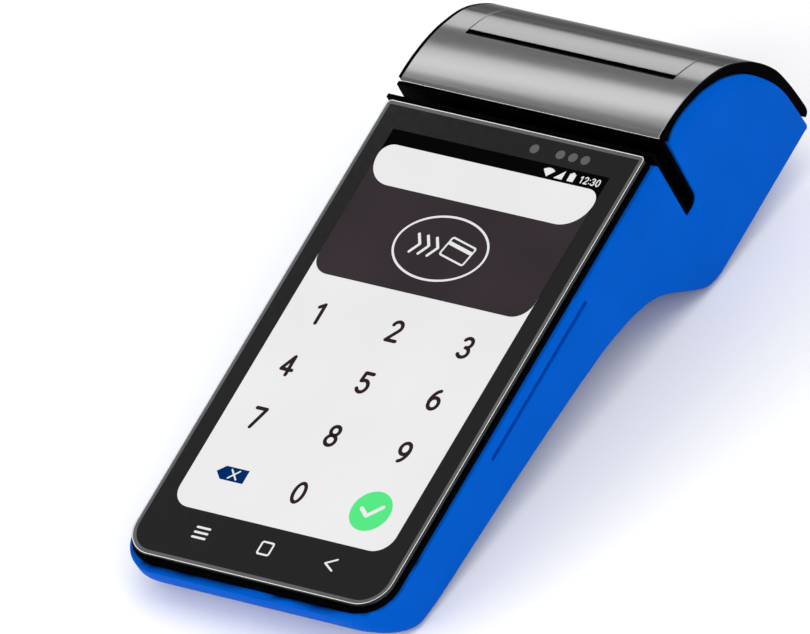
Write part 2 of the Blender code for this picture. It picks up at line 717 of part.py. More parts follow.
def gear_train():
    """The idler on its axle and the pinion on the motor's shaft."""
    idler_phase = meshed_phase(IDLER_TEETH, PLATEN_TEETH, IDLER_DIRECTION, IDLER_DIRECTION)
    idler = gear("idler_gear", IDLER, IDLER_TEETH, idler_phase, AXLE_RADIUS + 0.08, white_plastic())
    joint_origin(idler, *IDLER)
    cylinder("idler_axle", "X", IDLER, AXLE_RADIUS, 26.9, 30.9, steel(), sides=20)
    pinion_phase = meshed_phase(PINION_TEETH, IDLER_TEETH, idler_phase, PINION_DIRECTION)
    pinion = gear("motor_pinion", PINION, PINION_TEETH, pinion_phase, AXLE_RADIUS, brass())
    joint_origin(pinion, *PINION)
    shaft = cylinder("motor_shaft", "X", PINION, AXLE_RADIUS - 0.08, 26.4, 30.9, steel(), sides=20)
    joint_origin(shaft, *PINION)
    motor = cylinder("stepper_motor", "X", PINION, 5.0, 9.0, 26.0, steel(), sides=36)
    bevel(motor, 0.5, 2, 1.0)


def print_mechanism():
    """The chassis, the print head and its spring, the tear bar and the paper sensor."""
    chassis = box("printer_chassis", (-31.0, 86.2, -17.4), (27.9, 87.0, -7.6), steel())
    flange = box("motor_flange", (27.0, 75.2, -24.4), (27.9, 87.0, -10.4), cutter=True)
    boolean(chassis, flange, "UNION")
    ear = box("left_ear", (-31.0, 75.2, -22.5), (-30.0, 87.0, -10.4), cutter=True)
    boolean(chassis, ear, "UNION")
    for name, centre in (("idler_axle_hole", IDLER), ("motor_shaft_hole", PINION)):
        hole = cylinder(name, "X", centre, AXLE_RADIUS + 0.2, 20, 40, cutter=True, sides=16)
        boolean(chassis, hole)
    ceramic = material("head_ceramic", (0.55, 0.5, 0.42), 0.35)
    head = box("print_head", (-27.5, 88.3, -16.6), (24.8, 89.7, -8.4), ceramic)
    bevel(head, 0.25, 1)
    spring = box("print_head_spring", (-6, 87.3, -14.0), (6, 88.0, -13.0), steel())
    bevel(spring, 0.3, 1)
    sensor = box("paper_sensor", (10, 74.9, -33.0), (15, 77.0, -29.5), black_plastic())
    bevel(sensor, 0.3, 1)
    tear_bar()


def tear_bar():
    """A thin serrated strip along the front of the paper slot."""
    half, pitch, top, depth, low = 30.8, 1.1, -3.4, 0.7, -6.9
    count = int(2 * half / pitch)
    teeth = []
    for index in range(count):
        left = -half + 2 * half * index / count
        teeth += [(left, top - depth), (left + half / count, top)]
    outline = [*teeth, (half, top - depth), (half, low), (-half, low)]
    prism("tear_bar", outline, "Y", 90.5, 91.0, steel())


def bay_outline(radius, top):
    """A U-shaped section round the paper roll."""
    y, z = ROLL
    bottom = arc(ROLL, radius, pi, 2 * pi, 15)
    return [(y - radius, top), *bottom, (y + radius, top)]


def paper_supply():
    """The bay that the roll drops into, the roll and its core."""
    tub = prism("paper_bay", bay_outline(13.5, -25.6), "X", -31.2, 28.3, black_plastic())
    inner = bay_outline(12.4, 0.0)
    boolean(tub, prism("bay_cutter", inner, "X", -30.0, 26.8, cutter=True))
    low, high = LANE
    paper = material("receipt_paper", (0.85, 0.85, 0.82), 0.8)
    roll = ring("paper_roll", ROLL, ROLL_RADIUS, CORE_RADIUS + 0.1, low, high, paper, 40)
    joint_origin(roll, *ROLL)
    core = ring("paper_core", ROLL, CORE_RADIUS, CORE_BORE, low + 0.1, high - 0.1, white_plastic())
    joint_origin(core, *ROLL)


rear_casing()
feet()
case_screws()
battery_cover()
front_frame()
cover_glass()
display_stack()
electronics()
side_buttons()
swipe_channel()
printer_shroud()
printer_cover_skin()
paper_door()
platen()
gear_train()
print_mechanism()
paper_supply()
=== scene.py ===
"""The looks of the card payment terminal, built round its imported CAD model.

Lengths below are in millimetres in the terminal's own frame: the origin is the middle of the glass
face, x points right, y to the printer and z out of the glass. DEVICE takes them to the row frame.
"""

import json
from math import atan2, cos, hypot, pi, radians, sin

import bmesh
import bpy
from mathutils import Matrix, Vector

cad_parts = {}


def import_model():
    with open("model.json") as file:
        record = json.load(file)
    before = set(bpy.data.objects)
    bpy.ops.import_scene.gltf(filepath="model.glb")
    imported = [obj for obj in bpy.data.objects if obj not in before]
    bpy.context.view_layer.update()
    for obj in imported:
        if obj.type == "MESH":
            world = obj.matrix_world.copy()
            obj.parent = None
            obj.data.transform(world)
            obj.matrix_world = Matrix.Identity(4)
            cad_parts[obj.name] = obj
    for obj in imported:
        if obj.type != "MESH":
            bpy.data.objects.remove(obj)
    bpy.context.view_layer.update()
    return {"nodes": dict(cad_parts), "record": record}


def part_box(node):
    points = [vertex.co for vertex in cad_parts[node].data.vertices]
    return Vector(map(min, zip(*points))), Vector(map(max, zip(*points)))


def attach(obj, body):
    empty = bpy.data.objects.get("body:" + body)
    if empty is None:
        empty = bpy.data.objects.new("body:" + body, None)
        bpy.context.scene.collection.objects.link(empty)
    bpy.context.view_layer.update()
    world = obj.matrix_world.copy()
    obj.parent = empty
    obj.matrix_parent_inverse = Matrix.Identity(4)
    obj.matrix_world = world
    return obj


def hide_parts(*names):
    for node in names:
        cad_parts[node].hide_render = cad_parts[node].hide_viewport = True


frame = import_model()
MM = 0.001

SCREEN = next(m for m in frame["record"]["mounts"] if m["name"] == "screen_face")
NORMAL = Vector(SCREEN["axis"]).normalized()
RIGHT = Vector((1, 0, 0))
ALONG = NORMAL.cross(RIGHT)
DEVICE = Matrix((RIGHT, ALONG, NORMAL)).transposed().to_4x4()
DEVICE.translation = Vector(SCREEN["pos_m"])

# Casing
HALF_WIDTH = 40.0
RIM_Z = -2.7
NOSE_Y = -69.4
WALL = 2.0
GLASS = (38.7, -66.3, 66.9)  # half width, front and rear of the cover glass
GLASS_RADII = (8.0, 1.5)  # of its front and rear corners
GLASS_THICKNESS = 1.1
COVER_HALF_WIDTH = 38.75
DOOR_HALF_WIDTH = 31.2
GAP = 0.3
SLOT_FRONT_Y, SLOT_REAR_Y = 90.2, 91.9  # the paper slot
SKIN = 0.6  # thickness of the silver skins
SKIN_FOOT_Z = -28.0  # lower edge of the silver skins at the back
SKIN_LIP = (72.4, -0.35)  # front edge of the silver skin
HINGE = (109.6, -30.5)

UNDERSIDE = (
    (-69.5, -13.9), (-64.0, -14.6), (-57.0, -15.5), (-48.0, -16.3), (-30.0, -17.3), (-8.0, -18.7),
    (11.0, -20.3), (24.0, -21.7), (33.0, -23.4), (40.0, -25.6), (45.5, -28.2), (49.5, -31.6),
    (54.4, -37.4), (57.5, -41.0), (60.5, -43.6), (64.5, -44.9), (68.0, -45.1), (103.5, -45.1),
    (109.4, -45.1),
)
PANEL_EDGE = (
    (73.9, -3.1), (76.1, -2.1), (79.5, -1.9), (83.0, -2.4), (87.0, -3.5), (90.5, -4.8),
    (95.8, -7.9), (99.5, -11.2), (102.4, -14.6), (104.8, -18.8), (107.6, -25.7), (109.0, -33.3),
    (109.4, -39.8),
)
COVER_FACE = (
    (73.2, -0.1), (76.0, -0.1), (80.1, -0.45), (85.3, -1.35), (90.0, -2.7), (93.6, -4.2),
    (97.2, -6.0), (99.8, -7.8), (102.2, -10.0), (104.9, -13.1), (107.2, -16.4), (109.3, -20.7),
    (110.7, -25.1), (111.4, -31.0),
)
COVER_FOOT = ((111.6, -36.0), (111.6, -40.3), (111.0, -41.9), (109.9, -42.3))
CHANNEL = ((67.1, 0.0), (66.0, -22.6), (71.6, -22.6), (73.1, 0.0))
CHANNEL_FRONT_RADIUS, CHANNEL_REAR_RADIUS = 0.8, 2.8
SHROUD_HALF_WIDTH = 39.6
SHROUD_STEP_Z = -28.6  # where the black foot comes out flush with the silver skins above it


# ---------------------------------------------------------------- curves

def smooth(points, steps=5):
    """A smooth curve through the points, with some steps between each two."""
    ends = [points[0], *points, points[-1]]
    out = []
    for a, b, c, d in zip(ends, ends[1:], ends[2:], ends[3:]):
        for i in range(steps):
            t = i / steps
            out.append(tuple(
                0.5 * (2 * q + (r - p) * t + (2 * p - 5 * q + 4 * r - s) * t * t
                       + (3 * q - p - 3 * r + s) * t ** 3)
                for p, q, r, s in zip(a, b, c, d)
            ))
    return [*out, points[-1]]


def height_at(line, y):
    for (y0, z0), (y1, z1) in zip(line, line[1:]):
        if y0 <= y <= y1:
            return z0 + (z1 - z0) * (y - y0) / max(y1 - y0, 1e-9)
    return line[0][1] if y < line[0][0] else line[-1][1]


def offset(line, distance):
    """A copy of an open line moved to its left by a distance."""
    moved = []
    for i, (y, z) in enumerate(line):
        before, after = line[max(i - 1, 0)], line[min(i + 1, len(line) - 1)]
        run = (after[0] - before[0], after[1] - before[1])
        length = hypot(*run)
        moved.append((y - run[1] / length * distance, z + run[0] / length * distance))
    return moved


def arc(centre, radius, start, end, count):
    steps = [start + (end - start) * i / (count - 1) for i in range(count)]
    return [(centre[0] + radius * cos(a), centre[1] + radius * sin(a)) for a in steps]


def rounded_box(half_x, low_y, high_y, low_radius, high_radius, count, centre_x=0.0):
    """A plan outline with round corners, anticlockwise from the right rear corner."""
    corners = (
        (half_x, high_y, high_radius, 0.0, -1, -1),
        (-half_x, high_y, high_radius, pi / 2, 1, -1),
        (-half_x, low_y, low_radius, pi, 1, 1),
        (half_x, low_y, low_radius, 1.5 * pi, -1, 1),
    )
    points = []
    for x, y, radius, start, side_x, side_y in corners:
        centre = (centre_x + x + side_x * radius, y + side_y * radius)
        points += arc(centre, radius, start, start + pi / 2, count)
    return points


def polygon(centre, radius, count):
    return arc(centre, radius, 0, 2 * pi * (1 - 1 / count), count)


def ellipse(centre, a, b, count=96):
    return [(centre[0] + a * cos(2 * pi * i / count), centre[1] + b * sin(2 * pi * i / count))
            for i in range(count)]


def bow(centre, a, b, start, end, count=14):
    """Points on an ellipse between two angles in degrees."""
    turns = [radians(start + (end - start) * i / (count - 1)) for i in range(count)]
    return [(centre[0] + a * cos(t), centre[1] + b * sin(t)) for t in turns]


def channel_path(count=9):
    """The swipe channel's section as it is cut in the casing's sides."""
    front_top, (front, low), (rear, _), rear_top = CHANNEL
    small, large = CHANNEL_FRONT_RADIUS, CHANNEL_REAR_RADIUS
    front_corner = arc((front + small, low + small), small, pi, 1.5 * pi, count)
    rear_corner = arc((rear - large, low + large), large, 1.5 * pi, 2 * pi, count)
    return [front_top, *front_corner, *rear_corner, rear_top]


# ---------------------------------------------------------------- meshes

SHARP = 30.0  # the usual angle in degrees over which an edge stays sharp
FLAT_SHARP = 40.0  # and that of the flat pieces
ROUNDED = 38.0  # the least angle in degrees of an edge that gets rounded
COVER_SHARP, COVER_ROUNDED = 25.0, 40.0  # the same two for the printer's covers and the glass
FAR = 60.0  # past the sides and the underside of the terminal


def finish_object(name, bm, sharp):
    """Makes an object from a bmesh in the terminal's frame. An edge over the sharp angle stays sharp."""
    bmesh.ops.recalc_face_normals(bm, faces=bm.faces)
    bmesh.ops.transform(bm, matrix=DEVICE @ Matrix.Scale(MM, 4), verts=bm.verts)
    mesh = bpy.data.meshes.new(name)
    bm.to_mesh(mesh)
    bm.free()
    mesh.shade_smooth()
    mesh.set_sharp_from_angle(angle=radians(sharp))
    obj = bpy.data.objects.new(name, mesh)
    bpy.context.scene.collection.objects.link(obj)
    return obj


def prism(name, outline, axis, low, high, sharp=SHARP):
    """An outline extruded along x, y or z. Its points are (y, z), (x, z) or (x, y)."""
    spots = {
        "x": lambda p, v: (v, p[0], p[1]),
        "y": lambda p, v: (p[0], v, p[1]),
        "z": lambda p, v: (p[0], p[1], v),
    }[axis]
    bm = bmesh.new()
    face = bm.faces.new([bm.verts.new(spots(p, low)) for p in outline])
    grown = bmesh.ops.extrude_face_region(bm, geom=[face])["geom"]
    step = Vector(spots((0, 0), high)) - Vector(spots((0, 0), low))
    moved = [v for v in grown if isinstance(v, bmesh.types.BMVert)]
    bmesh.ops.translate(bm, vec=step, verts=moved)
    return finish_object(name, bm, sharp)


def block(name, low, high):
    bm = bmesh.new()
    bmesh.ops.create_cube(bm, size=1.0)
    for v in bm.verts:
        v.co = Vector([(low[i] + high[i]) / 2 + v.co[i] * (high[i] - low[i]) for i in range(3)])
    return finish_object(name, bm, SHARP)


def cylinder(name, axis, centre, radius, low, high, sides):
    return prism(name, polygon(centre, radius, sides), axis, low, high)


def cut(obj, *cutters):
    """Cuts the cutters out of the object and removes them."""
    for cutter in cutters:
        modifier = obj.modifiers.new("cut", "BOOLEAN")
        modifier.operation = "DIFFERENCE"
        modifier.solver = "EXACT"
        modifier.object = cutter
        apply_modifiers(obj)
        bpy.data.objects.remove(cutter)
    return obj


def apply_modifiers(obj):
    graph = bpy.context.evaluated_depsgraph_get()
    mesh = bpy.data.meshes.new_from_object(obj.evaluated_get(graph))
    obj.modifiers.clear()
    obj.data = mesh
    return obj


def soften(obj, width, segments, angle):
    """Rounds an object's edges and keeps its flat faces flat."""
    modifier = obj.modifiers.new("round", "BEVEL")
    modifier.width = width * MM
    modifier.segments = segments
    modifier.limit_method = "ANGLE"
    modifier.angle_limit = radians(angle)
    modifier.harden_normals = True
    return obj


def weld(obj):
    """Joins the points that a cut left almost in one place."""
    distance = 0.002
    bm = bmesh.new()
    bm.from_mesh(obj.data)
    bmesh.ops.remove_doubles(bm, verts=bm.verts, dist=distance * MM)
    bmesh.ops.dissolve_degenerate(bm, edges=bm.edges, dist=distance * MM)
    bm.to_mesh(obj.data)
    bm.free()
    return obj


def ring_piece(name, pairs, low, high):
    """Flat rings, each between an outer and an inner outline with the same number of points."""
    bm = bmesh.new()
    for outer, inner in pairs:
        rows = [[bm.verts.new((x, y, z)) for x, y in line]
                for line, z in ((outer, low), (outer, high), (inner, high), (inner, low))]
        count = len(outer)
        for a, b in zip(rows, [*rows[1:], rows[0]]):
            for i in range(count):
                j = (i + 1) % count
                bm.faces.new((a[i], a[j], b[j], b[i]))
    return finish_object(name, bm, FLAT_SHARP)


STAGGER = 0.001  # by how much each outline of a flat piece is higher than the one before


def flat_piece(name, outlines, low, high):
    """Flat outlines in XY, extruded, with no two tops in one plane where outlines cross."""
    bm = bmesh.new()
    for number, outline in enumerate(outlines):
        face = bm.faces.new([bm.verts.new((x, y, low)) for x, y in outline])
        grown = bmesh.ops.extrude_face_region(bm, geom=[face])["geom"]
        moved = [v for v in grown if isinstance(v, bmesh.types.BMVert)]
        bmesh.ops.translate(bm, vec=(0, 0, high - low + number * STAGGER), verts=moved)
    return finish_object(name, bm, FLAT_SHARP)


def stroke(points, width):
    """The outline of a smooth line of a given width with round ends."""
    half = width / 2
    left, right = offset(points, half), offset(points, -half)
    out = []
    for (a, b), spot in (((points[-2], points[-1]), points[-1]), ((points[1], points[0]), points[0])):
        facing = atan2(b[1] - a[1], b[0] - a[0])
        out.append(arc(spot, half, facing - pi / 2, facing + pi / 2, 6))
    return [*right[1:-1], *out[0], *list(reversed(left))[1:-1], *out[1]]


CORNER = radians(35)  # a sharper turn than this ends a smooth run of a line


def strokes(points, width):
    """The outlines of a line with corners: one for each smooth run of it."""
    runs, run = [], list(points[:2])
    for before, here, after in zip(points, points[1:], points[2:]):
        turn = (atan2(after[1] - here[1], after[0] - here[0])
                - atan2(here[1] - before[1], here[0] - before[0]))
        if abs((turn + pi) % (2 * pi) - pi) > CORNER:
            runs.append(run)
            run = [here]
        run.append(after)
    return [stroke(run, width) for run in [*runs, run]]


# ---------------------------------------------------------------- materials

def new_material(name, colour, roughness, metallic=0.0, **sockets):
    made = bpy.data.materials.new(name)
    made.use_nodes = True
    tree = made.node_tree
    shader = tree.nodes["Principled BSDF"]
    shader.inputs["Base Color"].default_value = (*colour, 1.0)
    shader.inputs["Roughness"].default_value = roughness
    shader.inputs["Metallic"].default_value = metallic
    for socket, value in sockets.items():
        shader.inputs[socket.replace("_", " ")].default_value = value
    return made, tree, shader


def noise(tree, scale, detail, stretch=(1, 1, 1)):
    """A noise in object space, in features per millimetre."""
    place = tree.nodes.new("ShaderNodeTexCoord")
    mapping = tree.nodes.new("ShaderNodeMapping")
    mapping.inputs["Scale"].default_value = [s * 1000 for s in stretch]
    tree.links.new(place.outputs["Object"], mapping.inputs["Vector"])
    texture = tree.nodes.new("ShaderNodeTexNoise")
    texture.inputs["Scale"].default_value = scale
    texture.inputs["Detail"].default_value = detail
    tree.links.new(mapping.outputs["Vector"], texture.inputs["Vector"])
    return texture


def tint(tree, shader, texture, dark, light):
    """Varies the base colour between two colours."""
    ramp = tree.nodes.new("ShaderNodeValToRGB")
    ramp.color_ramp.elements[0].position = 0.3
    ramp.color_ramp.elements[1].position = 0.7
    ramp.color_ramp.elements[0].color = (*dark, 1.0)
    ramp.color_ramp.elements[1].color = (*light, 1.0)
    tree.links.new(texture.outputs["Fac"], ramp.inputs["Fac"])
    tree.links.new(ramp.outputs["Color"], shader.inputs["Base Color"])
    return ramp


def vary_roughness(tree, shader, texture, low, high):
    spread = tree.nodes.new("ShaderNodeMapRange")
    spread.inputs["To Min"].default_value = low
    spread.inputs["To Max"].default_value = high
    tree.links.new(texture.outputs["Fac"], spread.inputs["Value"])
    tree.links.new(spread.outputs["Result"], shader.inputs["Roughness"])


def bump(tree, shader, texture, strength, depth_mm):
    node = tree.nodes.new("ShaderNodeBump")
    node.inputs["Strength"].default_value = strength
    node.inputs["Distance"].default_value = depth_mm * MM
    tree.links.new(texture.outputs["Fac"], node.inputs["Height"])
    tree.links.new(node.outputs["Normal"], shader.inputs["Normal"])


def scaled(colour, factor):
    return tuple(min(1.0, c * factor) for c in colour)


def moulded(name, colour, roughness, grain, strength, spread=0.06, **sockets):
    """Moulded plastic: a fine spark-eroded grain, and colour that drifts a little over the part."""
    made, tree, shader = new_material(name, colour, roughness, **sockets)
    tint(tree, shader, noise(tree, 0.05, 2.0), scaled(colour, 1 - spread), scaled(colour, 1 + spread))
    fine = noise(tree, grain, 4.0)
    vary_roughness(tree, shader, fine, roughness - 0.06, roughness + 0.06)
    bump(tree, shader, fine, strength, 0.02)
    return made


def metal(name, colour, roughness, stretch, grain, strength, spread=0.08, **sockets):
    """Metal with a brushed or plated surface. A small stretch draws its grain out along that axis."""
    made, tree, shader = new_material(name, colour, roughness, 1.0, **sockets)
    fine = noise(tree, grain, 4.0, stretch)
    tint(tree, shader, fine, scaled(colour, 1 - spread), scaled(colour, 1 + spread))
    vary_roughness(tree, shader, fine, roughness - 0.05, roughness + 0.05)
    bump(tree, shader, fine, strength, 0.01)
    return made


def screen_ink(name, colour, glow, spread=0.015):
    """A lit area of the display, seen through the glass's polished face."""
    made, tree, shader = new_material(
        name, colour, 0.12, Specular_IOR_Level=0.01, IOR=1.1, Coat_Weight=0.005, Coat_Roughness=0.04,
        Emission_Strength=glow
    )
    drift = noise(tree, 0.04, 1.0)
    ramp = tint(tree, shader, drift, scaled(colour, 1 - spread), scaled(colour, 1 + spread))
    tree.links.new(ramp.outputs["Color"], shader.inputs["Emission Color"])
    return made


BLUE = (0.0, 0.09, 0.5)
blue_shell = moulded("blue_shell", BLUE, 0.45, 3.5, 0.1, 0.05, Specular_IOR_Level=0.05, IOR=1.2)
blue_key = moulded("blue_key", scaled(BLUE, 0.9), 0.45, 3.5, 0.08, Specular_IOR_Level=0.06)
BLACK = (0.0007, 0.0007, 0.0008)
black_satin = moulded("black_satin", BLACK, 0.5, 3.0, 0.1, Specular_IOR_Level=0.012, IOR=1.3)
black_frame = moulded("black_frame", BLACK, 0.45, 3.0, 0.05, Specular_IOR_Level=0.012)
black_steel = metal("black_steel", (0.02, 0.02, 0.021), 0.35, (1, 1, 1), 2.0, 0.1)
grey_window = moulded("grey_window", (0.088, 0.088, 0.09), 0.25, 2.0, 0.03, Specular_IOR_Level=0.1)
foot_rubber = moulded("foot_rubber", (0.018, 0.018, 0.02), 0.85, 1.6, 0.3)
roller_rubber = moulded("roller_rubber", (0.02, 0.02, 0.021), 0.6, 2.2, 0.15)
acetal = moulded("acetal", (0.72, 0.71, 0.67), 0.4, 2.0, 0.05)
paper = moulded("paper", (0.86, 0.86, 0.83), 0.8, 1.2, 0.2, 0.02)
ceramic = moulded("ceramic", (0.5, 0.46, 0.38), 0.3, 2.0, 0.05)
battery_wrap = moulded("battery_wrap", (0.05, 0.05, 0.055), 0.45, 1.0, 0.15)
silver_skin = metal("silver_skin", (0.29, 0.29, 0.294), 0.17, (0.03, 1, 1), 5.0, 0.02, 0.03,
                    Specular_Tint=(0.2, 0.2, 0.2, 1.0))
plated_steel = metal("plated_steel", (0.55, 0.55, 0.56), 0.3, (1, 1, 1), 2.0, 0.1)
brass_metal = metal("brass_metal", (0.7, 0.5, 0.22), 0.3, (1, 1, 1), 2.5, 0.1)
solder_mask = moulded("solder_mask", (0.008, 0.1, 0.05), 0.35, 1.2, 0.3, 0.25)

NODE_MATERIALS = {
    "blue_plastic": blue_shell, "blue_keys": blue_key, "black_plastic": black_satin,
    "silver_cover": silver_skin, "cover_glass": black_frame, "display": acetal,
    "grey_plastic": grey_window, "steel": plated_steel, "brass": brass_metal,
    "circuit_board": solder_mask, "white_plastic": acetal, "rubber": foot_rubber,
    "receipt_paper": paper, "head_ceramic": ceramic,
}
SPECIAL = {
    "platen_roller": roller_rubber, "tear_bar": black_steel, "front_frame": black_frame,
    "battery_pack": battery_wrap,
}


def dress_cad_nodes():
    """Gives each CAD node its material."""
    for entry in frame["record"]["subparts"]:
        obj = frame["nodes"][entry["node"]]
        look = SPECIAL.get(entry["node"], NODE_MATERIALS[entry["material_slot"]])
        obj.data.materials.clear()
        obj.data.materials.append(look)


def own(obj, body, slot, look, *replaced):
    """Gives a finished piece its material and its body, and hides the CAD nodes that it stands for."""
    obj.data.materials.clear()
    obj.data.materials.append(look)
    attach(obj, body)
    if replaced:
        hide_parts(*replaced)
    return obj


# ---------------------------------------------------------------- casing

SIDE_SAG = 0.4  # how far the belly hangs below the line through UNDERSIDE's points
SAG_FRONT, SAG_REAR, SAG_FADE = -62.0, 57.0, 10.0  # where the sag starts and ends, and its fade


def sagging(y, z):
    share = min(y - SAG_FRONT, SAG_REAR - y, SAG_FADE) / SAG_FADE
    return y, z - SIDE_SAG * max(share, 0.0)


UNDER = [sagging(*point) for point in smooth(UNDERSIDE)]
EDGE = smooth(PANEL_EDGE)
NOSE_CORNER, REAR_CORNER = 11.0, 1.4  # corner radii in plan
NOSE_ROUND, SIDE_ROUND, REAR_ROUND = 10.5, 1.5, 1.3  # radii between the walls and the underside
REAR_Y = 109.4
NOSE_JOIN = NOSE_Y + NOSE_CORNER  # where the nose's rounding has run out into the underside


def half_plan():
    """The right half of the casing's plan, nose to rear: x, y, inward normal and edge radius."""
    rows = []
    corner = (HALF_WIDTH - NOSE_CORNER, NOSE_Y + NOSE_CORNER)
    for i in range(10):
        rows.append((corner[0] * i / 10, NOSE_Y, 0.0, 1.0, NOSE_ROUND))
    for i in range(19):
        turn = pi / 2 * i / 18
        nx, ny = -sin(turn), cos(turn)
        radius = SIDE_ROUND + (NOSE_ROUND - SIDE_ROUND) * cos(turn) ** 1.5
        rows.append((corner[0] - NOSE_CORNER * nx, corner[1] - NOSE_CORNER * ny, nx, ny, radius))
    # Along the side, a row at each point of the two curves that isn't close to the one before
    stations = [y for y, _ in UNDER if corner[1] + 1.5 < y < REAR_Y - REAR_CORNER - 0.5]
    stations += [y for y, _ in EDGE if y < REAR_Y - REAR_CORNER - 0.2]
    last = corner[1]
    for y in sorted(stations):
        if y - last > 0.6:
            rows.append((HALF_WIDTH, y, -1.0, 0.0, SIDE_ROUND))
            last = y
    for i in range(9):
        turn = pi / 2 * i / 8
        nx, ny = -cos(turn), -sin(turn)
        x = HALF_WIDTH - REAR_CORNER - REAR_CORNER * nx
        rows.append((x, REAR_Y - REAR_CORNER - REAR_CORNER * ny, nx, ny, REAR_ROUND))
    for i in range(1, 7):
        rows.append(((HALF_WIDTH - REAR_CORNER) * (1 - i / 6), REAR_Y, 0.0, -1.0, REAR_ROUND))
    return rows


def shell_top(y):
    """The height of the casing's open edge at y."""
    return RIM_Z if y < PANEL_EDGE[0][0] else height_at(EDGE, y)


def casing_column(x, y, nx, ny, radius):
    """The casing's outside from its open edge down to the underside, at one point of the plan."""
    top = shell_top(y)
    base = min(height_at(UNDER, y) + radius, top - 0.4)
    line = [(x, y, top + (base - top) * t) for t in (0, 0.15, 0.4, 0.7)]
    for i in range(10):
        turn = pi / 2 * i / 9
        reach = radius * (1 - cos(turn))
        spot = (x + nx * reach, y + ny * reach)
        line.append((*spot, height_at(UNDER, spot[1]) + radius * (1 - sin(turn))))
    if y < NOSE_JOIN - 1e-6:
        line.append((line[-1][0], NOSE_JOIN, height_at(UNDER, NOSE_JOIN)))
    return line


def casing_surface():
    """The casing's outside: walls, the rounding below them and the underside."""
    bm = bmesh.new()
    columns = [casing_column(*row) for row in half_plan()]
    right = [[bm.verts.new(p) for p in line] for line in columns]
    left = []
    for line, made in zip(columns, right):
        on_axis = line[0][0] < 1e-6
        left.append(made if on_axis else [bm.verts.new((-p[0], p[1], p[2])) for p in line])
    for side in (right, left):
        for a, b in zip(side, side[1:]):
            shorter = min(len(a), len(b))
            for i in range(shorter - 1):
                bm.faces.new((a[i], b[i], b[i + 1], a[i + 1]))
            if len(a) > shorter:
                bm.faces.new((a[-2], b[-1], a[-1]))
    # The underside, in strips from the nose's row of points to the rear's
    depths = [line[-1][1] for line in columns]
    first = max(i for i, depth in enumerate(depths) if abs(depth - depths[0]) < 1e-6)
    last = min(i for i, depth in enumerate(depths) if abs(depth - depths[-1]) < 1e-6)
    nose = [left[i][-1] for i in range(first, 0, -1)] + [right[i][-1] for i in range(first + 1)]
    rear = [right[i][-1] for i in range(last, len(right))]
    rear += [left[i][-1] for i in range(len(left) - 2, last - 1, -1)]
    for i in range(first, last):
        front_side = nose if i == first else [left[i][-1], right[i][-1]]
        rear_side = rear if i + 1 == last else [right[i + 1][-1], left[i + 1][-1]]
        bm.faces.new([*front_side, *rear_side])
    return finish_object("casing_shell", bm, 40)


def node_box(node, grow):
    """A box round a CAD node in the row frame, as a cutter."""
    low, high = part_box(node)
    bm = bmesh.new()
    bmesh.ops.create_cube(bm, size=1.0)
    for v in bm.verts:
        for i in range(3):
            side = high[i] - low[i] + 2 * grow * MM
            v.co[i] = (low[i] + high[i]) / 2 + v.co[i] * side
    mesh = bpy.data.meshes.new(node + "_cutter")
    bm.to_mesh(mesh)
    bm.free()
    obj = bpy.data.objects.new(node + "_cutter", mesh)
    bpy.context.scene.collection.objects.link(obj)
    return obj


NOTCH_ROUND, CUT_ROUND = 0.85, 0.3  # edges of the swipe channel's notch, and of the other cuts
FEET = ("front_left_foot", "front_right_foot", "rear_left_foot", "rear_right_foot")
CASE_SCREWS = ((-34.2, -40.0), (34.2, -40.0), (-34.2, 35.0), (34.2, 35.0))
POCKET_RADIUS = 2.2  # of the recess round each screw's head
CASE_POCKET, HATCH_POCKET = 1.3, 0.9  # its depth in the casing and in the battery cover
HATCH = (31.0, -12.0, 46.0)  # battery cover: half width, front and rear
HATCH_THICKNESS = 1.6
BATTERY_SCREW = (26.0, 5.0)  # from the middle, and from the cover's front
GROOVE = (-17.5, 29.2, -6.5)  # front, rear and middle height of the groove in the right side
GROOVE_HALF_HEIGHT, GROOVE_FLOOR_X = 0.6, 38.9
BUTTON_Z = (-11.4, -8.2)
POWER_Y = (20.0, 31.0)
VOLUME_Y = (-8.0, 12.0)
USB_Y, USB_Z = (38.0, 47.0), (-12.1, -8.9)


def slotted(name, y0, y1, z0, z1, low_x, high_x, radius):
    """A cutter with a rounded rectangle's section in the side view."""
    outline = rounded_box((y1 - y0) / 2, z0, z1, radius, radius, 8, (y0 + y1) / 2)
    return prism(name, outline, "x", low_x, high_x)


def left_window(name, along, up, radius):
    """A cutter for a window in the left wall, with a gap round what sits in it."""
    (y0, y1), (z0, z1) = along, up
    return slotted(name, y0 - GAP, y1 + GAP, z0 - GAP, z1 + GAP, -50, -36, radius)


FLARE = 1.5  # radius of the notch's front corner at the casing's rim


def notch_outline():
    """The swipe channel's notch as the casing's sides show it, flared at its mouth."""
    (front, _), *walls, (rear, _) = channel_path()
    flare = arc((front - FLARE, RIM_Z - FLARE), FLARE, pi / 2, 0, 7)
    mouth = [(flare[0][0] - 1.0, RIM_Z + 0.002), (flare[0][0], RIM_Z + 0.002), *flare[1:]]
    return [(mouth[0][0], 6.0), *mouth, *walls, (rear + 0.1, -4.6), PANEL_EDGE[0], (76.0, 6.0)]


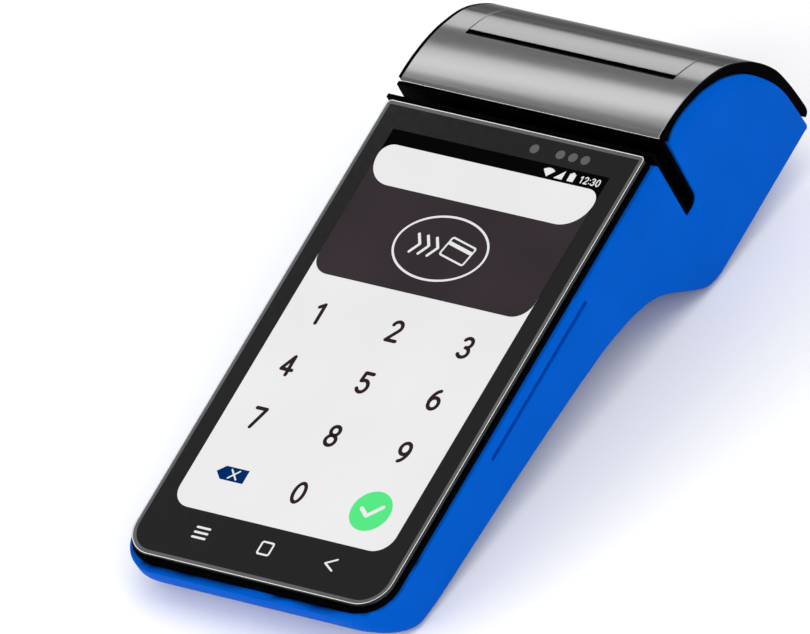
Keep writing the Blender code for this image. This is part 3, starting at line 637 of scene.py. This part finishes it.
def casing():
    shell = casing_surface()
    thick = shell.modifiers.new("wall", "SOLIDIFY")
    thick.thickness = WALL * MM
    thick.offset = -1.0
    apply_modifiers(shell)
    cut(shell, prism("notch", notch_outline(), "x", -FAR, FAR))
    weld(shell)
    soften(shell, NOTCH_ROUND, 4, ROUNDED)
    half, front, rear = HATCH
    cutters = [block("hatch", (-half - GAP, front - GAP, -FAR), (half + GAP, rear + GAP, -11))]
    cutters += [node_box(foot, GAP) for foot in FEET]
    for place in CASE_SCREWS:
        floor = height_at(UNDER, place[1]) + CASE_POCKET
        cutters.append(cylinder("head_pocket", "z", place, POCKET_RADIUS, -FAR, floor, 40))
    cutters += [left_window("key", along, BUTTON_Z, 1.2) for along in (POWER_Y, VOLUME_Y)]
    cutters.append(left_window("port", USB_Y, USB_Z, 1.6))
    y0, y1, z = GROOVE
    cutters.append(slotted("groove", y0, y1, z - GROOVE_HALF_HEIGHT, z + GROOVE_HALF_HEIGHT,
                           GROOVE_FLOOR_X, 50, 0.58))
    cut(shell, *cutters)
    weld(shell)
    soften(shell, CUT_ROUND, 2, ROUNDED)
    own(shell, "housing", "blue_plastic", blue_shell, "rear_casing")


def hatch_cover():
    """The battery cover, which follows the underside."""
    half, front, rear = HATCH
    line = [p for p in UNDER if front < p[0] < rear]
    line = [(front, height_at(UNDER, front)), *line, (rear, height_at(UNDER, rear))]
    inner = [(min(max(y, front), rear), z) for y, z in offset(line, HATCH_THICKNESS)]
    cover = prism("hatch_cover", [*line, *reversed(inner)], "x", -half, half, 50)
    x, y = BATTERY_SCREW[0], front + BATTERY_SCREW[1]
    floor = height_at(UNDER, y) + HATCH_POCKET
    pockets = [cylinder("pocket", "z", (side, y), POCKET_RADIUS, -FAR, floor, 40) for side in (-x, x)]
    ridges = [rear - 4.0 - 2.4 * i for i in range(4)]
    grips = [cylinder("grip", "x", (y, height_at(UNDER, y) - 0.35), 0.7, -9, 9, 20) for y in ridges]
    cut(cover, *pockets, *grips)
    soften(cover, 0.35, 3, ROUNDED)
    own(cover, "housing", "blue_plastic", blue_shell, "battery_cover")


# ---------------------------------------------------------------- printer cover and door

COVER = smooth(COVER_FACE)
COVER_AND_FOOT = smooth((*COVER_FACE, *COVER_FOOT))
SHROUD_FACE = offset(COVER_AND_FOOT, -(SKIN + 0.15))
SHROUD_BACK = offset(EDGE, GAP)
SKIN_ROUND = 0.18


def above(line, z):
    """The part of a falling line above a height, with its end added."""
    kept = [p for p in line if p[1] > z]
    if len(kept) < len(line):
        (y0, z0), (y1, z1) = line[len(kept) - 1], line[len(kept)]
        kept.append((y0 + (y1 - y0) * (z - z0) / (z1 - z0), z))
    return kept


def skin_outline():
    line = [SKIN_LIP, *above(COVER, SKIN_FOOT_Z)]
    return [*line, *reversed(offset(line, -SKIN))]


def door_opening(low):
    """A cutter for the door's opening, from a height up."""
    return block("opening", (-DOOR_HALF_WIDTH, SLOT_FRONT_Y, low), (DOOR_HALF_WIDTH, 130, 10))


def cover_skin():
    """The silver skin of the fixed cover, open where the door is."""
    skin = prism("cover_skin", skin_outline(), "x", -COVER_HALF_WIDTH, COVER_HALF_WIDTH, COVER_SHARP)
    cut(skin, door_opening(-FAR))
    soften(skin, SKIN_ROUND, 2, COVER_ROUNDED)
    own(skin, "housing", "silver_cover", silver_skin, "printer_cover_skin")


def door_skin():
    half = DOOR_HALF_WIDTH - SKIN_ROUND
    skin = prism("door_skin", skin_outline(), "x", -half, half, COVER_SHARP)
    cut(skin, block("front", (-FAR, FAR, -FAR), (FAR, SLOT_REAR_Y, FAR)))
    soften(skin, SKIN_ROUND, 2, COVER_ROUNDED)
    own(skin, "door", "silver_cover", silver_skin, "paper_door_skin")


def shroud_outline():
    """The black cover's section: under the skins, then flush with them at its foot."""
    face = above(SHROUD_FACE, SHROUD_STEP_Z)
    step = above(COVER_AND_FOOT, SHROUD_STEP_Z)[-1]
    foot = [p for p in COVER_AND_FOOT if p[1] < SHROUD_STEP_Z]
    return [*face, step, *foot, *reversed(SHROUD_BACK)]


def shroud():
    """The black cover under the silver, and its rims that come up flush beside the silver."""
    piece = prism("shroud", shroud_outline(), "x", -SHROUD_HALF_WIDTH, SHROUD_HALF_WIDTH, COVER_SHARP)
    bore = cylinder("bore", "x", HINGE, 0.95, -36, 36, 24)
    cut(piece, door_opening(-32.5), bore)
    soften(piece, 0.3, 3, COVER_ROUNDED)
    own(piece, "housing", "black_plastic", black_satin, "printer_shroud")
    rim = [*above(COVER, SHROUD_STEP_Z), *reversed(SHROUD_BACK)]
    for side, name in ((-1, "left"), (1, "right")):
        low, high = sorted((side * (COVER_HALF_WIDTH + 0.1), side * (SHROUD_HALF_WIDTH + 0.05)))
        edge = prism(f"shroud_{name}_rim", rim, "x", low, high, COVER_SHARP)
        soften(edge, 0.15, 2, COVER_ROUNDED)
        own(edge, "housing", "black_plastic", black_satin)


# ---------------------------------------------------------------- glass

def lens():
    """The cover glass: a black-backed plate, its bevelled edge drawn as a painted grey reflection band
    and a painted bright highlight line.
    """
    half, front, rear = GLASS
    front_radius, rear_radius = GLASS_RADII

    def line(inset):
        return rounded_box(half - inset, front + inset, rear - inset,
                           front_radius - inset, rear_radius - inset, 16)

    plate = prism("lens", line(0.0), "z", -GLASS_THICKNESS, 0.0, COVER_SHARP)
    soften(plate, 0.2, 3, COVER_ROUNDED)
    own(plate, "housing", "cover_glass", bezel_glass, "cover_glass")
    # Each ring as its two distances in from the edge; both rings are painted light, a white highlight
    # line and a grey reflection band of the bevel
    for name, outer, inner, look in (("painted_highlight_line", 0.22, 0.36, edge_painted_highlight),
                                     ("painted_reflection_band", 0.4, 1.3, bevel_painted_reflection)):
        ring = ring_piece("lens_" + name, [(line(outer), line(inner))], -0.03, 0.012)
        own(ring, "housing", "cover_glass", look)


bezel_glass = moulded("bezel_glass", (0.0055, 0.0055, 0.006), 0.1, 0.5, 0.004, 0.04,
                      Specular_IOR_Level=0.2, Coat_Weight=0.2, Coat_Roughness=0.03)
# Plain colours painted on for the light on the glass edge: a white painted highlight and a grey painted
# reflection of the bevel
edge_painted_highlight = moulded("edge_painted_highlight", (0.9, 0.9, 0.91), 0.2, 1.0, 0.01, 0.03)
bevel_painted_reflection = moulded("bevel_painted_reflection", (0.085, 0.085, 0.087), 0.2, 1.0, 0.01, 0.12, Specular_IOR_Level=0.2)


# ---------------------------------------------------------------- what the display shows

LAYER = 0.02  # height of one printed layer above the glass
SHOWN = (-32.6, 32.3, 59.2, -51.6)  # left, right, top and bottom of the display's picture
KEYPAD_TOP = 24.0
BAND = (17.1, 49.0)  # bottom and top of the dark band with the reader's sign
AMOUNT = (43.9, 55.1)  # and of the white panel above it
AMOUNT_RADII = (7.4, 3.6)  # of that panel's lower and upper corners

screen_black = screen_ink("screen_black", (0.0015, 0.0015, 0.0015), 0.0)
screen_white = screen_ink("screen_white", (0.55, 0.55, 0.55), 0.2)
screen_charcoal = screen_ink("screen_charcoal", (0.028, 0.0215, 0.025), 0.1, 0.1)
screen_ink_dark = screen_ink("screen_ink_dark", (0.022, 0.012, 0.014), 0.0)
screen_line = screen_ink("screen_line", (0.62, 0.62, 0.63), 0.1)
screen_green = screen_ink("screen_green", (0.068, 0.56, 0.16), 0.12)
screen_navy = screen_ink("screen_navy", (0.0, 0.018, 0.1), 0.05)


def layer(number):
    return LAYER * number, LAYER * (number + 1)


def on_screen(obj, look):
    own(obj, "housing", "display", look)


def panels():
    left, right, top, bottom = SHOWN
    middle, half = (right + left) / 2, (right - left) / 2
    backing = rounded_box(half, bottom, top, 5.0, 0.3, 12, middle)
    on_screen(flat_piece("screen_backing", [backing], *layer(0)), screen_black)
    keys = rounded_box(half, bottom, KEYPAD_TOP, 5.2, 0.4, 12, middle)
    on_screen(flat_piece("keypad_panel", [keys], *layer(1)), screen_white)
    band = rounded_box(half, *BAND, 5.2, 0.4, 12, middle)
    on_screen(flat_piece("reader_band", [band], *layer(2)), screen_charcoal)
    (low, high), (large, small) = AMOUNT, AMOUNT_RADII
    outline = [*arc((right - small, high - small), small, 0, pi / 2, 12),
               *arc((left + small, high - small), small, pi / 2, pi, 12),
               *arc((left + large, low + large), large, pi, 1.5 * pi, 16),
               *arc((right - large, low + large), large, 1.5 * pi, 2 * pi, 16)]
    on_screen(flat_piece("amount_panel", [outline], *layer(3)), screen_white)


KEY_COLUMNS = (-22.9, -0.1, 21.1)
KEY_ROWS = (6.4, -8.8, -24.4, -41.1)
DIGIT_HEIGHT = 6.35
KEY_LINES = (-31.6, 31.4, -47.5, 14.5)  # left, right, bottom and top end of the lines between keys
COLUMN_LINES, ROW_LINES = (-11.4, 11.4), (-0.9, -16.4, -31.7)

# The digits for a height of 1: open lines, and loops as centre and half axes
HOOK = bow((0.13, -0.16), 0.35, 0.56, 102, 178, 12)
DIGIT_LINES = {
    "0": [], "8": [],
    "1": [[(-0.14, 0.27), (0.06, 0.41), (0.06, -0.43)]],
    "2": [[*bow((0.0, 0.2), 0.21, 0.225, 165, -38), (-0.21, -0.425), (0.24, -0.425)]],
    "3": [bow((-0.02, 0.215), 0.2, 0.21, 150, -90), bow((-0.02, -0.205), 0.225, 0.22, 90, -150)],
    "4": [[(0.1, -0.43), (0.1, 0.4), (-0.23, -0.2), (0.26, -0.2)]],
    "5": [[(0.2, 0.425), (-0.15, 0.425), (-0.185, 0.07), *bow((-0.01, -0.155), 0.225, 0.265, 120, -150)]],
    "6": [HOOK],
    "7": [[(-0.23, 0.425), (0.22, 0.425), (-0.09, -0.43)]],
    "9": [[(-x, -y) for x, y in HOOK]],
    ":": [[(0.0, 0.16), (0.0, 0.17)], [(0.0, -0.29), (0.0, -0.3)]],
}
DIGIT_LOOPS = {
    "0": [((0.0, 0.0), 0.225, 0.425)], "6": [((0.01, -0.175), 0.215, 0.25)],
    "8": [((0.0, 0.225), 0.19, 0.2), ((0.0, -0.205), 0.22, 0.22)], "9": [((-0.01, 0.175), 0.215, 0.25)],
}


def lettering(name, items, weight, low, high, look):
    """Digits as thin flat pieces. Each item is a digit, x, y of its middle, and height."""
    lines, loops = [], []
    for digit, x, y, height in items:
        half = weight * height / 2
        for points in DIGIT_LINES[digit]:
            lines += strokes([(x + height * px, y + height * py) for px, py in points], 2 * half)
        for (px, py), a, b in DIGIT_LOOPS.get(digit, ()):
            centre = (x + height * px, y + height * py)
            loops.append((ellipse(centre, height * a + half, height * b + half, 48),
                          ellipse(centre, height * a - half, height * b - half, 48)))
    on_screen(flat_piece(name + "_lines", lines, low, high), look)
    on_screen(ring_piece(name + "_loops", loops, low, high), look)


def keypad():
    digits = [(str(3 * row + column + 1), KEY_COLUMNS[column], KEY_ROWS[row], DIGIT_HEIGHT)
              for row in range(3) for column in range(3)]
    digits.append(("0", KEY_COLUMNS[1], KEY_ROWS[3], DIGIT_HEIGHT))
    lettering("key_digits", digits, 0.158, *layer(2), screen_ink_dark)
    left, right, bottom, top = KEY_LINES
    thin = 0.07
    lines = [[(x - thin, bottom), (x + thin, bottom), (x + thin, top), (x - thin, top)]
             for x in COLUMN_LINES]
    lines += [[(left, y - thin), (right, y - thin), (right, y + thin), (left, y + thin)]
              for y in ROW_LINES]
    for number, line in enumerate(lines):
        on_screen(flat_piece(f"key_line_{number + 1}", [line], LAYER * 1.5, LAYER * 2.2), screen_line)


def enter_and_erase_keys():
    centre = (21.6, -41.4)
    on_screen(flat_piece("enter_key", [polygon(centre, 5.6, 64)], *layer(2)), screen_green)
    tick = strokes([(18.8, -41.2), (21.1, -42.9), (24.3, -39.7)], 1.05)
    on_screen(flat_piece("enter_tick", tick, *layer(3)), screen_white)
    tag = [(-25.2, -40.5), (-23.2, -42.4), (-16.4, -42.4), (-16.4, -38.6), (-23.2, -38.6)]
    on_screen(flat_piece("erase_key", [tag], *layer(2)), screen_navy)
    reach = 1.2
    x, y = -20.0, -40.5
    for name, way in (("a", 1), ("b", -1)):
        arm = stroke([(x - reach, y - reach * way), (x + reach, y + reach * way)], 0.42)
        low, high = layer(3 if way > 0 else 4)
        on_screen(flat_piece(f"erase_cross_{name}", [arm], low, high), screen_white)


def tilted(points, centre, turn):
    return [(centre[0] + x * cos(turn) - y * sin(turn), centre[1] + x * sin(turn) + y * cos(turn))
            for x, y in points]


def reader_picture():
    """A plain sign for the reader: an oval, a card and three chevrons that point to it."""
    centre, spot, turn = (-1.1, 30.6), (3.9, 30.9), -0.22
    oval = (ellipse(centre, 13.6, 9.3), ellipse(centre, 13.0, 8.7))
    card = [tilted(rounded_box(x, -y, y, radius, radius, 8), spot, turn)
            for x, y, radius in ((4.3, 2.9, 0.8), (3.8, 2.4, 0.4))]
    on_screen(ring_piece("reader_oval", [oval, card], *layer(3)), screen_white)
    y, rise = centre[1], 2.6
    chevrons = [line for x in (-9.0, -6.3, -3.6)
                for line in strokes([(x, y + rise), (x + 1.7, y), (x, y - rise)], 0.75)]
    on_screen(flat_piece("reader_chevrons", chevrons, *layer(3)), screen_white)
    stripe = tilted([(-3.85, 0.5), (3.85, 0.5), (3.85, 1.5), (-3.85, 1.5)], spot, turn)
    on_screen(flat_piece("reader_card_stripe", [stripe], *layer(3)), screen_white)


def status_bar():
    middle = 57.05
    wave = [(15.3, middle - 1.25), *arc((15.3, middle - 1.25), 2.5, radians(47), radians(133), 14)]
    signal = [(17.4, middle - 1.2), (19.9, middle - 1.2), (19.9, middle + 1.3)]
    cell = [(21.4, middle - 1.2), (23.2, middle - 1.2), (23.2, middle + 0.95), (22.7, middle + 0.95),
            (22.7, middle + 1.3), (21.9, middle + 1.3), (21.9, middle + 0.95), (21.4, middle + 0.95)]
    on_screen(flat_piece("status_icons", [wave, signal, cell], *layer(1)), screen_white)
    clock = [(digit, x, middle, 2.1) for digit, x in zip("12:30", (25.2, 26.6, 27.65, 28.7, 30.15))]
    lettering("status_clock", clock, 0.15, *layer(1), screen_white)


def navigation_icons():
    y = -57.45
    bars = [stroke([(-21.4, y + rise), (-17.7, y + rise)], 0.6) for rise in (-1.4, 0.0, 1.4)]
    back = strokes([(20.5, y + 1.6), (17.7, y), (20.5, y - 1.6)], 0.5)
    on_screen(flat_piece("menu_bars", [*bars, *back], *layer(0)), screen_white)
    outer = rounded_box(1.95, y - 1.95, y + 1.95, 0.7, 0.7, 8, -0.2)
    inner = rounded_box(1.45, y - 1.45, y + 1.45, 0.25, 0.25, 8, -0.2)
    on_screen(ring_piece("home_square", [(outer, inner)], *layer(0)), screen_white)


STATUS_LIGHTS = (8.0, 15.75, 19.5, 23.2)
STATUS_LIGHT_Y, STATUS_LIGHT_RADIUS = 62.3, 1.25


def status_lights():
    for number, x in enumerate(STATUS_LIGHTS):
        disc = polygon((x, STATUS_LIGHT_Y), STATUS_LIGHT_RADIUS, 40)
        spot = flat_piece(f"status_window_{number + 1}", [disc], *layer(0))
        own(spot, "housing", "grey_plastic", grey_window)


# ---------------------------------------------------------------- camera and light

PHOTO_RIGHT = Vector((0.7828, 0.4736, -0.4036))
PHOTO_UP = Vector((-0.1835, 0.7953, 0.5777))
PHOTO_CENTRE = (5.26, 8.50)  # the middle of the picture from the middle of the glass, right and up
VIEW_WIDTH = 190.15  # of the picture at the glass
LENS = 1100.0  # long, as the photo shows almost no perspective
SENSOR = 36.0


def camera():
    turn = DEVICE.to_3x3()
    right, up = turn @ PHOTO_RIGHT, turn @ PHOTO_UP
    right.normalize()
    back = right.cross(up).normalized()
    up = back.cross(right)
    target = DEVICE.translation + (right * PHOTO_CENTRE[0] + up * PHOTO_CENTRE[1]) * MM
    distance = VIEW_WIDTH * LENS / SENSOR * MM
    data = bpy.data.cameras.new("camera")
    data.lens = LENS
    data.sensor_width = SENSOR
    data.clip_start = 0.01
    data.clip_end = 100.0
    obj = bpy.data.objects.new("camera", data)
    bpy.context.scene.collection.objects.link(obj)
    place = Matrix((right, up, back)).transposed().to_4x4()
    place.translation = target + back * distance
    obj.matrix_world = place
    bpy.context.scene.camera = obj


def area_light(name, spot, target, width, height, power):
    data = bpy.data.lights.new(name, "AREA")
    data.shape = "RECTANGLE"
    data.size = width
    data.size_y = height
    data.energy = power
    obj = bpy.data.objects.new(name, data)
    bpy.context.scene.collection.objects.link(obj)
    obj.location = spot
    facing = Vector(target) - Vector(spot)
    obj.rotation_euler = facing.to_track_quat("-Z", "Y").to_euler()


AMBIENT = 0.4
HEAD = Vector((0.0, 0.09, 0.05))  # the printer's hump in the row frame, in metres
FLOOR_Z = -0.0002


def world():
    made = bpy.data.worlds.new("studio")
    made.use_nodes = True
    background = made.node_tree.nodes["Background"]
    background.inputs["Color"].default_value = (1.0, 1.0, 1.0, 1.0)
    background.inputs["Strength"].default_value = AMBIENT
    bpy.context.scene.world = made


def studio():
    world()
    bpy.context.scene.view_settings.view_transform = "Standard"
    area_light("side", (1.0, -0.55, 0.55), (0, 0, 0.02), 0.8, 0.8, 6.2)
    area_light("top", (0.5, 0.1, 1.1), (0, 0, 0.0), 1.0, 1.0, 6.5)
    area_light("front", (-0.6, -0.85, 0.42), (0, 0, 0.01), 0.9, 0.4, 7.8)
    area_light("back", (-0.05, 1.0, 0.5), (-0.15, 0.35, 0.0), 0.5, 0.3, 1.0)
    # Two long lamps that lie along the printer cover and draw the bright bands on its silver
    area_light("band_lamp", HEAD + Vector((-0.595, 0.383, 0.707)), HEAD, 1.6, 0.17, 1.75)
    area_light("low_band_lamp", HEAD + Vector((-0.595, 0.565, 0.2)), HEAD, 1.6, 0.3, 3.0)
    bm = bmesh.new()
    bmesh.ops.create_grid(bm, x_segments=2, y_segments=2, size=40.0)
    mesh = bpy.data.meshes.new("floor")
    bm.to_mesh(mesh)
    bm.free()
    floor = bpy.data.objects.new("floor", mesh)
    bpy.context.scene.collection.objects.link(floor)
    floor.location.z = FLOOR_Z
    look, _, _ = new_material("floor", (0.9, 0.9, 0.91), 0.8, Specular_IOR_Level=0.1)
    floor.data.materials.append(look)


# ---------------------------------------------------------------- the whole

def rounded_cad_nodes():
    """Rounds the edges of the CAD nodes that show as they are."""
    widths = {"swipe_channel": 0.25, "front_frame": 0.2, "paper_door": 0.2}
    widths.update(dict.fromkeys(FEET, 0.4))
    for node, width in widths.items():
        soften(frame["nodes"][node], width, 2, ROUNDED)


camera()
studio()
dress_cad_nodes()
rounded_cad_nodes()
casing()
hatch_cover()
shroud()
cover_skin()
door_skin()
lens()
panels()
keypad()
enter_and_erase_keys()
reader_picture()
status_bar()
navigation_icons()
status_lights()
